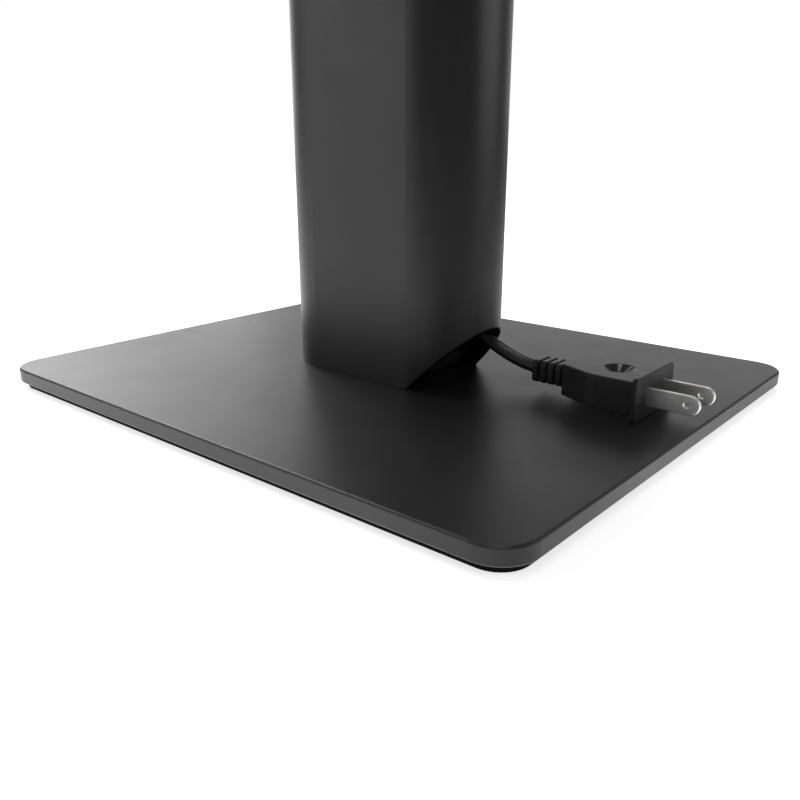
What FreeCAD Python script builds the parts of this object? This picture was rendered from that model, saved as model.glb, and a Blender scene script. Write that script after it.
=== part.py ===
"""Floor stand for one compact speaker, with its power cord inside the column.

A steel base plate on a thin foam pad carries a flat-oval steel column. The column's
rear foot is cut off at a slant, and the cord comes out there and ends in a flat
two-blade plug that lies on the plate. A small platform on top takes the speaker.

Millimetres. +Z is up, the front of the stand faces -Y, and the origin is on the floor
under the middle of the base.
"""
import math
import os

import FreeCAD
import Part

V = FreeCAD.Vector

# ---- Base ----
base_width = 203.4
base_depth = 243.0
base_thickness = 5.7
base_corner_radius = 12.2
base_edge_break = 0.6
foam_thickness = 2.7
foam_inset = 2.7
foam_window_radius = 10.5

# ---- Column: a flat-oval tube, square at the top, slanted at the rear foot ----
column_width = 45.0
column_depth = 90.0
column_wall = 2.0
column_height = 740.0
outlet_cut_angle = 46.0
outlet_behind_flat = 0.9

# ---- Platform for the speaker ----
platform_width = 150.0
platform_depth = 180.0
platform_thickness = 4.0
platform_corner_radius = 12.0
platform_edge_break = 0.5
slot_length = 30.0
slot_width = 15.0
slot_centre_x = 2.5
slot_behind_bracket = 0.3
speaker_hole_spacing = 90.0
speaker_hole_radius = 3.3
cushion_side = 22.0
cushion_thickness = 1.6
cushion_corner_radius = 4.0
cushion_margin = 6.0

# ---- Brackets welded into both ends of the column ----
bracket_thickness = 4.0
bracket_bend_radius = 3.0
bracket_fit = 0.15
lug_width = 25.0
lug_rear_y = 21.3
foot_lug_height = 58.0
top_lug_height = 43.0

# ---- Countersunk socket screws and the weld nuts that they turn into ----
screw_front_y = -31.0
screw_rear_y = 5.0
thread_fit = 0.05
shank_clearance = 0.3
base_screw_radius = 4.0
base_screw_head_radius = 8.0
base_screw_length = 18.0
base_screw_socket = 5.0
base_nut_flats = 13.0
base_nut_height = 6.5
top_screw_radius = 3.0
top_screw_head_radius = 6.0
top_screw_length = 14.0
top_screw_socket = 4.0
top_nut_flats = 10.0
top_nut_height = 5.0
socket_depth = 2.4

# ---- Saddles that clamp the cord to the bracket lugs ----
saddle_height = 10.0
saddle_thickness = 1.8
saddle_fit = 0.2
saddle_edge_margin = 1.0
saddle_screw_offset = 8.6
saddle_screw_radius = 1.5
saddle_screw_head_radius = 2.7
saddle_screw_head_height = 1.8
saddle_screw_past_lug = 1.0
saddle_screw_cross_width = 0.7
saddle_screw_cross_length = 3.2

# ---- Cord ----
cord_radius = 2.45
cord_sides = 12
cord_x = -7.2
cord_off_lug = 0.3

# ---- Plug, which lies on the base plate behind the column ----
plug_x = -11.9
plug_front_y = 103.8
plug_flange_width = 29.7
plug_flange_height = 15.1
plug_flange_thickness = 1.8
plug_flange_corner = 1.2
plug_flange_edge_break = 0.35
plug_body_length = 29.1
plug_body_width = 26.4
plug_body_height = 11.7
plug_rear_width = 14.9
plug_flare_length = 13.0
plug_flare_radius = 12.6
plug_edge_break = 0.6
plug_dish_from_rear = 17.6
plug_dish_radius = 5.6
plug_dish_floor_radius = 2.3
plug_dish_depth = 2.2
relief_length = 13.8
relief_rib_count = 4
relief_rib_thickness = 2.35
relief_rib_width = 10.4
relief_rib_height = 8.2
relief_rib_corner = 1.1
relief_core_width = 7.9
relief_core_height = 6.6
relief_core_corner = 3.1
relief_grip = 8.0
bore_fit = 0.1
blade_width = 6.35
blade_thickness = 1.5
blade_spacing = 12.7
blade_length = 18.0
blade_root = 8.0
blade_hole_radius = 1.3
blade_hole_from_tip = 4.4

# ---- Appliance connector on the cord's upper end, which lies on the platform ----
connector_y = 27.4
connector_relief_start_x = 25.7
connector_relief_length = 12.0
connector_relief_radius = 3.6
connector_collar_radius = 4.4
connector_collar_length = 4.5
connector_relief_grip = 5.2
grip_length = 18.0
grip_width = 19.0
grip_height = 9.4
grip_edge_break = 0.8
nose_length = 15.0
nose_radius = 3.9
nose_waist = 6.4
contact_spacing = 8.6
contact_radius = 1.8
contact_bore_radius = 1.25
contact_length = 11.0
contact_depth = 1.0

# ---- For cutting: how far a tool runs past the piece, and what counts as level ----
overshoot = 1.0
level = 1e-6

# ---- Places that follow from the sizes ----
plate_bottom = foam_thickness
plate_top = plate_bottom + base_thickness
column_top = plate_top + column_height
platform_top = column_top + platform_thickness
flat_half = (column_depth - column_width) / 2
inner_width = column_width - 2 * column_wall
inner_depth = column_depth - 2 * column_wall
outlet_y = flat_half + outlet_behind_flat
screw_places = [(0, screw_front_y), (0, screw_rear_y)]
slot_y = lug_rear_y + slot_behind_bracket + slot_width / 2
cord_y = lug_rear_y + cord_off_lug + cord_radius
plug_axis_z = plate_top + plug_flange_height / 2
plug_rear_y = plug_front_y - plug_flange_thickness - plug_body_length
relief_rear_y = plug_rear_y - relief_length
connector_z = platform_top + grip_height / 2

# ---- Routes of the cord, points chosen by hand ----
# From the foot saddle down and out under the slanted foot: heights above the plate.
tail_points = [
    (cord_x, cord_y, 46.2),
    (cord_x, cord_y, 34.7),
    (-8.6, 28.2, 24.0),
    (-10.2, 36.2, 15.6),
    (-11.2, 46.2, 10.6),
    (plug_x, 56.4, plug_flange_height / 2),
    (plug_x, relief_rear_y + relief_grip, plug_flange_height / 2),
]
# From the top saddle up through the slot: heights above the platform.
crown_points = [
    (cord_x, cord_y, -34.0),
    (cord_x, cord_y, -21.0),
    (-2.6, 24.8, -8.9),
    (6.3, 26.2, -0.1),
    (18.2, connector_y, grip_height / 2),
    (connector_relief_start_x + connector_relief_grip, connector_y, grip_height / 2),
]
# Inside the column, in a long easy bow: share of the way up, and offsets in X and Y.
bow_points = [
    (0.0, 0.0, 0.0),
    (0.03, 0.0, 0.0),
    (0.085, 0.4, 1.5),
    (0.19, 1.2, 4.6),
    (0.31, 2.0, 7.4),
    (0.43, 2.5, 9.1),
    (0.55, 2.6, 9.5),
    (0.67, 2.2, 8.6),
    (0.78, 1.5, 6.4),
    (0.87, 0.8, 3.7),
    (0.93, 0.3, 1.5),
    (0.97, 0.0, 0.0),
    (1.0, 0.0, 0.0),
]


# ---- Shape helpers ----
def wire_of(edges):
    return Part.Wire(Part.__sortEdges__(edges))


def polygon(points):
    return Part.makePolygon([V(*p) for p in points] + [V(*points[0])])


def oval_wire(width, length, z=0.0):
    """A flat oval along Y: two straight sides and two half circles."""
    radius = width / 2
    half = length / 2 - radius
    right, left = (radius, half), (-radius, half)
    return wire_of([
        Part.makeLine(V(radius, -half, z), V(*right, z)),
        Part.Arc(V(*right, z), V(0, half + radius, z), V(*left, z)).toShape(),
        Part.makeLine(V(*left, z), V(-radius, -half, z)),
        Part.Arc(V(-radius, -half, z), V(0, -half - radius, z), V(radius, -half, z)).toShape(),
    ])


def rounded_block(width, depth, height, corner):
    """A block centred on X and Y and standing on Z = 0, with rounded upright corners."""
    block = Part.makeBox(width, depth, height, V(-width / 2, -depth / 2, 0))
    upright = [e for e in block.Edges if e.BoundBox.ZLength > height - level]
    return block.makeFillet(corner, upright)


def rim_edges(shape, z):
    """The edges that lie at one height."""
    box = [(e, e.BoundBox) for e in shape.Edges]
    return [e for e, b in box if abs(b.ZMin - z) < level and abs(b.ZMax - z) < level]


def with_broken_rims(shape, edge, low, high):
    """Chamfers the rims at the two heights, as a deburred or moulded edge is."""
    return shape.makeChamfer(edge, rim_edges(shape, low) + rim_edges(shape, high))


def broken_plate(width, depth, thickness, corner, edge):
    """A plate with rounded corners whose upper and lower rims are broken."""
    return with_broken_rims(rounded_block(width, depth, thickness, corner), edge, 0.0, thickness)


def hexagon(flats, height):
    radius = flats / math.sqrt(3)
    corners = [(radius * math.cos(math.radians(60 * k)), radius * math.sin(math.radians(60 * k)), 0)
               for k in range(6)]
    return Part.Face(polygon(corners)).extrude(V(0, 0, height))


def turned(profile):
    """A solid turned about Z from (radius, z) points that start and end on the axis."""
    wire = Part.makePolygon([V(r, 0, z) for r, z in profile] + [V(profile[0][0], 0, profile[0][1])])
    return Part.Face(wire).revolve(V(0, 0, 0), V(0, 0, 1), 360)


def copies(shape, places, z=0.0):
    out = []
    for x, y in places:
        one = shape.copy()
        one.translate(V(x, y, z))
        out.append(one)
    return Part.makeCompound(out)


def upside_down(shape):
    """Turned over about the X axis and back to front, so +Y stays +Y."""
    return shape.mirror(V(0, 0, 0), V(0, 0, 1))


# ---- Fasteners ----
def countersunk_screw(radius, head_radius, length, socket):
    """Head down: the flat face is at Z = 0 and the shank points up."""
    solid = turned([
        (0, 0),
        (head_radius, 0),
        (radius, head_radius - radius),
        (radius, length),
        (0, length),
    ])
    return solid.cut(hexagon(socket, socket_depth))


def countersink(radius, head_radius, thickness):
    """The hole that the screw above drops into, a little wider all round."""
    hole = radius + shank_clearance
    mouth = head_radius + shank_clearance / 2
    return turned([
        (0, -overshoot),
        (mouth + overshoot, -overshoot),
        (hole, mouth - hole),
        (hole, thickness + overshoot),
        (0, thickness + overshoot),
    ])


def weld_nut(flats, height, radius):
    return hexagon(flats, height).cut(Part.makeCylinder(radius + thread_fit, height))


def saddle_screw():
    """Flat cheese head on the saddle's ear, shank along -Y through the ear and the lug."""
    reach = saddle_thickness + bracket_thickness + saddle_screw_past_lug
    screw = turned([
        (0, -reach),
        (saddle_screw_radius, -reach),
        (saddle_screw_radius, 0),
        (saddle_screw_head_radius, 0),
        (saddle_screw_head_radius, saddle_screw_head_height),
        (0, saddle_screw_head_height),
    ])
    long, short = saddle_screw_cross_length, saddle_screw_cross_width
    for x, y in ((long, short), (short, long)):
        screw = screw.cut(Part.makeBox(x, y, saddle_screw_head_height,
                                       V(-x / 2, -y / 2, saddle_screw_head_height / 2)))
    screw.rotate(V(0, 0, 0), V(1, 0, 0), -90)
    return screw


# ---- Base ----
def base_plate():
    plate = broken_plate(base_width, base_depth, base_thickness, base_corner_radius, base_edge_break)
    sink = countersink(base_screw_radius, base_screw_head_radius, base_thickness)
    plate = plate.cut(copies(sink, screw_places))
    plate.translate(V(0, 0, plate_bottom))
    return plate


def base_foam():
    foam = rounded_block(base_width - 2 * foam_inset, base_depth - 2 * foam_inset,
                         foam_thickness, base_corner_radius - foam_inset)
    window = Part.makeCylinder(foam_window_radius, foam_thickness)
    return foam.cut(copies(window, screw_places))


def base_screws():
    screw = countersunk_screw(base_screw_radius, base_screw_head_radius,
                              base_screw_length, base_screw_socket)
    return copies(screw, screw_places, plate_bottom)


# ---- Column ----
def column_tube():
    outer = Part.Face(oval_wire(column_width, column_depth)).extrude(V(0, 0, column_height))
    inner = Part.Face(oval_wire(inner_width, inner_depth)).extrude(V(0, 0, column_height))
    past = column_depth / 2 + overshoot - outlet_y
    rise = past * math.tan(math.radians(outlet_cut_angle))
    across = column_width / 2 + overshoot
    wedge = Part.Face(polygon([
        (-across, outlet_y, 0),
        (-across, outlet_y + past, 0),
        (-across, outlet_y + past, rise),
    ])).extrude(V(2 * across, 0, 0))
    tube = outer.cut(inner).cut(wedge)
    tube.translate(V(0, 0, plate_top))
    return tube


def bracket(lug_height, screw_radius):
    """Oval plate on Z = 0 that ends in a lug bent up at the rear, beside the cord."""
    bend = bracket_thickness + bracket_bend_radius
    bend_y = lug_rear_y - bend
    plate = Part.Face(oval_wire(inner_width - 2 * bracket_fit, inner_depth - 2 * bracket_fit))
    plate = plate.extrude(V(0, 0, bracket_thickness))
    plate = plate.cut(Part.makeBox(inner_width, inner_depth, bracket_thickness,
                                   V(-inner_width / 2, bend_y, 0)))
    left = cord_x - lug_width / 2
    middle = math.sqrt(0.5)
    t, y = bracket_thickness, lug_rear_y
    outer_mid = V(left, bend_y + bend * middle, bend - bend * middle)
    inner_mid = V(left, bend_y + bracket_bend_radius * middle, bend - bracket_bend_radius * middle)
    lug = wire_of([
        Part.makeLine(V(left, bend_y, t), V(left, bend_y, 0)),
        Part.Arc(V(left, bend_y, 0), outer_mid, V(left, y, bend)).toShape(),
        Part.makeLine(V(left, y, bend), V(left, y, lug_height)),
        Part.makeLine(V(left, y, lug_height), V(left, y - t, lug_height)),
        Part.makeLine(V(left, y - t, lug_height), V(left, y - t, bend)),
        Part.Arc(V(left, y - t, bend), inner_mid, V(left, bend_y, t)).toShape(),
    ])
    solid = plate.fuse(Part.Face(lug).extrude(V(lug_width, 0, 0))).removeSplitter()
    hole = Part.makeCylinder(screw_radius + thread_fit, bracket_thickness)
    return solid.cut(copies(hole, screw_places))


def with_saddle_holes(solid, saddle_z):
    """Tapped holes in the lug for the saddle's two screws."""
    for side in (-1, 1):
        hole = Part.makeCylinder(saddle_screw_radius + thread_fit, bracket_thickness + 2 * overshoot,
                                 V(cord_x + side * saddle_screw_offset, lug_rear_y + overshoot, saddle_z),
                                 V(0, -1, 0))
        solid = solid.cut(hole)
    return solid


def foot_bracket():
    solid = bracket(foot_lug_height, base_screw_radius)
    solid.translate(V(0, 0, plate_top))
    return with_saddle_holes(solid, foot_saddle_z())


def foot_nuts():
    nut = weld_nut(base_nut_flats, base_nut_height, base_screw_radius)
    return copies(nut, screw_places, plate_top + bracket_thickness)


def top_bracket():
    solid = upside_down(bracket(top_lug_height, top_screw_radius))
    solid.translate(V(0, 0, column_top))
    return with_saddle_holes(solid, top_saddle_z())


def top_nuts():
    nut = weld_nut(top_nut_flats, top_nut_height, top_screw_radius)
    return copies(nut, screw_places, column_top - bracket_thickness - top_nut_height)


# ---- Platform ----
def platform():
    plate = broken_plate(platform_width, platform_depth, platform_thickness,
                         platform_corner_radius, platform_edge_break)
    sink = upside_down(countersink(top_screw_radius, top_screw_head_radius, platform_thickness))
    plate = plate.cut(copies(sink, screw_places, platform_thickness))
    slot = Part.Face(oval_wire(slot_width, slot_length)).extrude(V(0, 0, platform_thickness))
    slot.rotate(V(0, 0, 0), V(0, 0, 1), 90)
    slot.translate(V(slot_centre_x, slot_y, 0))
    hole = Part.makeCylinder(speaker_hole_radius, platform_thickness)
    half = speaker_hole_spacing / 2
    plate = plate.cut(slot).cut(copies(hole, [(-half, 0), (half, 0)]))
    plate.translate(V(0, 0, column_top))
    return plate


def platform_screws():
    screw = upside_down(countersunk_screw(top_screw_radius, top_screw_head_radius,
                                          top_screw_length, top_screw_socket))
    return copies(screw, screw_places, platform_top)


def platform_cushions():
    cushion = rounded_block(cushion_side, cushion_side, cushion_thickness, cushion_corner_radius)
    x = platform_width / 2 - cushion_margin - cushion_side / 2
    y = platform_depth / 2 - cushion_margin - cushion_side / 2
    return copies(cushion, [(sx * x, sy * y) for sx in (-1, 1) for sy in (-1, 1)], platform_top)


# ---- Cord clamps ----
def foot_saddle_z():
    return plate_top + tail_points[0][2] + saddle_height / 2


def top_saddle_z():
    return platform_top + crown_points[0][2] - saddle_height / 2


def saddle(middle_z):
    """A strap with two ears, arched over the cord against the lug's rear face."""
    throat = cord_radius + saddle_fit
    crown = throat + saddle_thickness
    ear = lug_width / 2 - saddle_edge_margin
    y0 = lug_rear_y
    y1 = y0 + saddle_thickness
    z = middle_z - saddle_height / 2
    edges = [
        Part.makeLine(V(-ear, y0, z), V(-throat, y0, z)),
        Part.makeLine(V(-throat, y0, z), V(-throat, cord_y, z)),
        Part.Arc(V(-throat, cord_y, z), V(0, cord_y + throat, z), V(throat, cord_y, z)).toShape(),
        Part.makeLine(V(throat, cord_y, z), V(throat, y0, z)),
        Part.makeLine(V(throat, y0, z), V(ear, y0, z)),
        Part.makeLine(V(ear, y0, z), V(ear, y1, z)),
        Part.makeLine(V(ear, y1, z), V(crown, y1, z)),
        Part.makeLine(V(crown, y1, z), V(crown, cord_y, z)),
        Part.Arc(V(crown, cord_y, z), V(0, cord_y + crown, z), V(-crown, cord_y, z)).toShape(),
        Part.makeLine(V(-crown, cord_y, z), V(-crown, y1, z)),
        Part.makeLine(V(-crown, y1, z), V(-ear, y1, z)),
        Part.makeLine(V(-ear, y1, z), V(-ear, y0, z)),
    ]
    strap = Part.Face(wire_of(edges)).extrude(V(0, 0, saddle_height))
    strap.translate(V(cord_x, 0, 0))
    for side in (-1, 1):
        x = cord_x + side * saddle_screw_offset
        strap = strap.cut(Part.makeCylinder(saddle_screw_radius + saddle_fit, saddle_thickness,
                                            V(x, y0, middle_z), V(0, 1, 0)))
    return strap


def cord_saddles():
    return Part.makeCompound([saddle(z) for z in (foot_saddle_z(), top_saddle_z())])


def saddle_screws():
    out = []
    for z in (foot_saddle_z(), top_saddle_z()):
        for side in (-1, 1):
            screw = saddle_screw()
            screw.translate(V(cord_x + side * saddle_screw_offset, lug_rear_y + saddle_thickness, z))
            out.append(screw)
    return Part.makeCompound(out)


# ---- Cord ----
def cord_section(x, y, z):
    """A level ring with a flat towards the lug: every route sets out upright."""
    step = 2 * math.pi / cord_sides
    return polygon([(x + cord_radius * math.cos((k + 0.5) * step),
                     y + cord_radius * math.sin((k + 0.5) * step), z) for k in range(cord_sides)])


def cord_tube(name, points):
    """Straight runs joined by tangent arcs, each as large as its two runs allow."""
    p = [V(*q) for q in points]
    edges = []
    start = p[0]
    radii = []
    for a, b, c in zip(p, p[1:], p[2:]):
        back, ahead = (a - b).normalize(), (c - b).normalize()
        turn = math.pi - back.getAngle(ahead)
        reach = 0.45 * min((b - a).Length, (c - b).Length)
        radius = reach / math.tan(turn / 2)
        radii.append(radius)
        towards = (back + ahead).normalize()
        middle = b + towards * (radius / math.cos(turn / 2) - radius)
        edges.append(Part.LineSegment(start, b + back * reach).toShape())
        edges.append(Part.Arc(b + back * reach, middle, b + ahead * reach).toShape())
        start = b + ahead * reach
    edges.append(Part.LineSegment(start, p[-1]).toShape())
    path = Part.Wire(edges)
    ring = cord_section(*points[0])
    tube = path.makePipeShell([ring], True, False)
    expected = Part.Face(ring).Area * path.Length
    print(f"{name}: length {path.Length:.1f}, radii {min(radii):.1f} to {max(radii):.1f},"
          f" volume {tube.Volume / expected:.4f} of section times length")
    return tube


def tail_route():
    return [(x, y, z + plate_top) for x, y, z in tail_points]


def crown_route():
    return [(x, y, z + platform_top) for x, y, z in crown_points]


def column_route():
    low, high = tail_route()[0], crown_route()[0]
    return [(cord_x + dx, cord_y + dy, low[2] + share * (high[2] - low[2])) for share, dx, dy in bow_points]


# ---- Plug ----
def plug_outline(z):
    """Plan of the moulded body: a narrow rear that flares out to straight sides."""
    front = plug_front_y - plug_flange_thickness
    rear_half, half = plug_rear_width / 2, plug_body_width / 2
    flare_y = plug_rear_y + plug_flare_length
    slope = math.atan2(half - rear_half, plug_flare_length)
    reach = plug_flare_radius * math.tan(slope / 2)
    edges = [Part.makeLine(V(rear_half, plug_rear_y, z), V(-rear_half, plug_rear_y, z))]
    for side in (-1, 1):
        before = V(side * (half - reach * math.sin(slope)), flare_y - reach * math.cos(slope), z)
        after = V(side * half, flare_y + reach, z)
        centre = V(side * (half - plug_flare_radius), flare_y + reach, z)
        middle = centre + V(side * plug_flare_radius * math.cos(slope / 2),
                            -plug_flare_radius * math.sin(slope / 2), 0)
        edges += [
            Part.makeLine(V(side * rear_half, plug_rear_y, z), before),
            Part.Arc(before, middle, after).toShape(),
            Part.makeLine(after, V(side * half, front, z)),
        ]
    edges.append(Part.makeLine(V(-half, front, z), V(half, front, z)))
    return wire_of(edges)


def plug_body():
    z = plug_axis_z - plug_body_height / 2
    body = Part.Face(plug_outline(z)).extrude(V(0, 0, plug_body_height))
    body = with_broken_rims(body, plug_edge_break, z, z + plug_body_height)
    flange = broken_plate(plug_flange_width, plug_flange_height, plug_flange_thickness,
                          plug_flange_corner, plug_flange_edge_break)
    flange.rotate(V(0, 0, 0), V(1, 0, 0), 90)
    flange.translate(V(0, plug_front_y, plug_axis_z))
    solid = body.fuse(flange).removeSplitter()
    dish = turned([(0, 0), (plug_dish_floor_radius, 0), (plug_dish_radius, plug_dish_depth),
                   (plug_dish_radius, 2 * plug_dish_depth), (0, 2 * plug_dish_depth)])
    dish.translate(V(0, plug_rear_y + plug_dish_from_rear, z + plug_body_height - plug_dish_depth))
    solid = solid.cut(dish)
    for side in (-1, 1):
        solid = solid.cut(Part.makeBox(blade_thickness, blade_root, blade_width,
                                       V(side * blade_spacing / 2 - blade_thickness / 2,
                                         plug_front_y - blade_root, plug_axis_z - blade_width / 2)))
    solid.translate(V(plug_x, 0, 0))
    return solid


def plug_blades():
    half = blade_width / 2
    root = plug_front_y - blade_root
    tip = plug_front_y + blade_length
    out = []
    for side in (-1, 1):
        x = plug_x + side * blade_spacing / 2 - blade_thickness / 2
        outline = wire_of([
            Part.makeLine(V(x, root, plug_axis_z - half), V(x, tip - half, plug_axis_z - half)),
            Part.Arc(V(x, tip - half, plug_axis_z - half), V(x, tip, plug_axis_z),
                     V(x, tip - half, plug_axis_z + half)).toShape(),
            Part.makeLine(V(x, tip - half, plug_axis_z + half), V(x, root, plug_axis_z + half)),
            Part.makeLine(V(x, root, plug_axis_z + half), V(x, root, plug_axis_z - half)),
        ])
        blade = Part.Face(outline).extrude(V(blade_thickness, 0, 0))
        hole = Part.makeCylinder(blade_hole_radius, blade_thickness,
                                 V(x, tip - blade_hole_from_tip, plug_axis_z), V(1, 0, 0))
        out.append(blade.cut(hole))
    return Part.makeCompound(out)


def rib(width, height, thickness, corner):
    """A rounded rectangle across the cord, thin along Y."""
    plate = rounded_block(width, height, thickness, corner)
    plate.rotate(V(0, 0, 0), V(1, 0, 0), 90)
    plate.translate(V(0, thickness, 0))
    return plate


def plug_relief():
    solid = rib(relief_core_width, relief_core_height, relief_length, relief_core_corner)
    pitch = (relief_length - relief_rib_thickness / 2) / relief_rib_count
    for k in range(relief_rib_count):
        one = rib(relief_rib_width, relief_rib_height, relief_rib_thickness, relief_rib_corner)
        one.translate(V(0, k * pitch, 0))
        solid = solid.fuse(one)
    solid = solid.removeSplitter().cut(
        Part.makeCylinder(cord_radius + bore_fit, relief_grip, V(0, 0, 0), V(0, 1, 0)))
    solid.translate(V(plug_x, relief_rear_y, plug_axis_z))
    return solid


# ---- Connector ----
def along_x(shape, x):
    """Lays a shape that stands along Z on its side, along X, on the connector's axis."""
    shape.rotate(V(0, 0, 0), V(0, 1, 0), 90)
    shape.translate(V(x, connector_y, connector_z))
    return shape


def connector_relief():
    solid = Part.makeCylinder(connector_relief_radius, connector_relief_length)
    collar_start = connector_relief_length - connector_collar_length
    solid = solid.fuse(Part.makeCylinder(connector_collar_radius, connector_collar_length,
                                         V(0, 0, collar_start)))
    solid = solid.removeSplitter().cut(Part.makeCylinder(cord_radius + bore_fit, connector_relief_grip))
    return along_x(solid, connector_relief_start_x)


def connector_body():
    """The finger grip, then the nose with a figure-eight section and its two sockets."""
    grip = Part.Face(oval_wire(grip_height, grip_width)).extrude(V(0, 0, grip_length))
    grip = with_broken_rims(grip, grip_edge_break, 0.0, grip_length)
    nose_end = grip_length + nose_length
    nose = Part.makeBox(nose_waist, contact_spacing, nose_length,
                        V(-nose_waist / 2, -contact_spacing / 2, grip_length))
    for y in (-contact_spacing / 2, contact_spacing / 2):
        nose = nose.fuse(Part.makeCylinder(nose_radius, nose_length, V(0, y, grip_length)))
    solid = grip.fuse(nose).removeSplitter()
    socket = contact_length + contact_depth
    for y in (-contact_spacing / 2, contact_spacing / 2):
        solid = solid.cut(Part.makeCylinder(contact_radius, socket, V(0, y, nose_end - socket)))
    return along_x(solid, connector_relief_start_x + connector_relief_length)


def connector_contacts():
    front = grip_length + nose_length - contact_depth
    out = []
    for side in (-1, 1):
        centre = V(0, side * contact_spacing / 2, front - contact_length)
        sleeve = Part.makeCylinder(contact_radius, contact_length, centre)
        out.append(sleeve.cut(Part.makeCylinder(contact_bore_radius, contact_length, centre)))
    return along_x(Part.makeCompound(out), connector_relief_start_x + connector_relief_length)


# ---- All the pieces ----
def pieces():
    return {
        "base_plate": base_plate(),
        "base_foam": base_foam(),
        "base_screws": base_screws(),
        "column_tube": column_tube(),
        "foot_bracket": foot_bracket(),
        "foot_weld_nuts": foot_nuts(),
        "top_bracket": top_bracket(),
        "top_weld_nuts": top_nuts(),
        "cord_saddles": cord_saddles(),
        "saddle_screws": saddle_screws(),
        "platform": platform(),
        "platform_screws": platform_screws(),
        "platform_cushions": platform_cushions(),
        "cord_in_column": cord_tube("cord_in_column", column_route()),
        "cord_tail": cord_tube("cord_tail", tail_route()),
        "plug_relief": plug_relief(),
        "plug_body": plug_body(),
        "plug_blades": plug_blades(),
        "cord_crown": cord_tube("cord_crown", crown_route()),
        "connector_relief": connector_relief(),
        "connector_body": connector_body(),
        "connector_contacts": connector_contacts(),
    }


os.makedirs("parts", exist_ok=True)
for node, shape in pieces().items():
    if not shape.isValid():
        raise ValueError(f"{node} isn't a valid shape")
    shape.exportStep(f"parts/{node}.step")
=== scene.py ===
"""Looks of a floor stand for a compact speaker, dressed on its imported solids.

Metres. +Z is up, the stand's front faces -Y, and its rear, where the cord comes out of the
column's foot, faces +Y. Each operator below finishes one group of pieces, and main() calls
them in order.
"""
import math

import bmesh
import bpy
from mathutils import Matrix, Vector


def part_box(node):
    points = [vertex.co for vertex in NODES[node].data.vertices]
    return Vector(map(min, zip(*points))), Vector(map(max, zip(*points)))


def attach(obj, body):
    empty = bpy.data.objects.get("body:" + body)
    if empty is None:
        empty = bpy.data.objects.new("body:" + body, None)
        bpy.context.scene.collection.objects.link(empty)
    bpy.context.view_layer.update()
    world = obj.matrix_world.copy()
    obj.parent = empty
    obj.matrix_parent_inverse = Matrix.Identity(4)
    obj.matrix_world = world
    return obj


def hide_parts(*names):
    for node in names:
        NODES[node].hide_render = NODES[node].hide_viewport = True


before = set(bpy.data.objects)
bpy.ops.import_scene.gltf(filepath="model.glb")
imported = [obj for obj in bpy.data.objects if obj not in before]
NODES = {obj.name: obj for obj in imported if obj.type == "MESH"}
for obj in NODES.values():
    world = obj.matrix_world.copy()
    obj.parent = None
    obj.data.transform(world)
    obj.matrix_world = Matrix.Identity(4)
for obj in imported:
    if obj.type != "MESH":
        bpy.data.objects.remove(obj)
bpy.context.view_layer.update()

bl_info = {
    "name": "Speaker Stand Dressing",
    "version": (1, 0, 0),
    "blender": (4, 5, 0),
    "location": "View3D > Sidebar > Speaker Stand",
    "description": "Finishes a steel speaker stand, its cord, its plug and a plain studio",
    "category": "Object",
}

PLATE_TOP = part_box("base_plate")[1].z
PLATFORM_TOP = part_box("platform")[1].z

# The column is a flat oval: two straight sides of this half length, closed by half rounds.
COLUMN_FLAT_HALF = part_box("column_tube")[1].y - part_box("column_tube")[1].x
COLUMN_WALL = 0.0020

# What lies deeper than this below the column's outer skin is its bore and its outlet's cut, which
# get painted shade; what lies this far below the plate's top is its broken edge and sides, which
# get painted light.
COLUMN_SKIN = 0.1 * COLUMN_WALL
PLATE_SKIN = 0.00003

# The middle range of Blender's noise, which the finishes spread over their own range.
NOISE_LOW, NOISE_HIGH = 0.3, 0.7


# ---- Settings ----
class StandFinishSettings(bpy.types.PropertyGroup):
    """Colours and textures of the stand's own pieces."""

    coat_colour: bpy.props.FloatVectorProperty(
        name="Powder coat", description="Colour of the powder-coated steel",
        subtype="COLOR", size=3, min=0.0, max=1.0, default=(0.0120, 0.0120, 0.0123))
    # Painted light: the plate's cut sides are given a paler colour than its top.
    painted_light_side_colour: bpy.props.FloatVectorProperty(
        name="Plate sides", description="Colour of the base plate's cut sides",
        subtype="COLOR", size=3, min=0.0, max=1.0, default=(0.026, 0.026, 0.0264))
    coat_roughness: bpy.props.FloatProperty(
        name="Coat roughness", description="How satin the powder coat is",
        subtype="FACTOR", min=0.0, max=1.0, default=0.38)
    coat_grain: bpy.props.FloatProperty(
        name="Coat grain", description="Size of the powder coat's fine grain",
        subtype="DISTANCE", unit="LENGTH", min=0.0001, default=0.0006)
    foam_colour: bpy.props.FloatVectorProperty(
        name="Foam", description="Colour of the foam pad under the base",
        subtype="COLOR", size=3, min=0.0, max=1.0, default=(0.008, 0.008, 0.008))
    rubber_colour: bpy.props.FloatVectorProperty(
        name="Rubber", description="Colour of the platform's rubber cushions",
        subtype="COLOR", size=3, min=0.0, max=1.0, default=(0.016, 0.016, 0.017))


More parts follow.
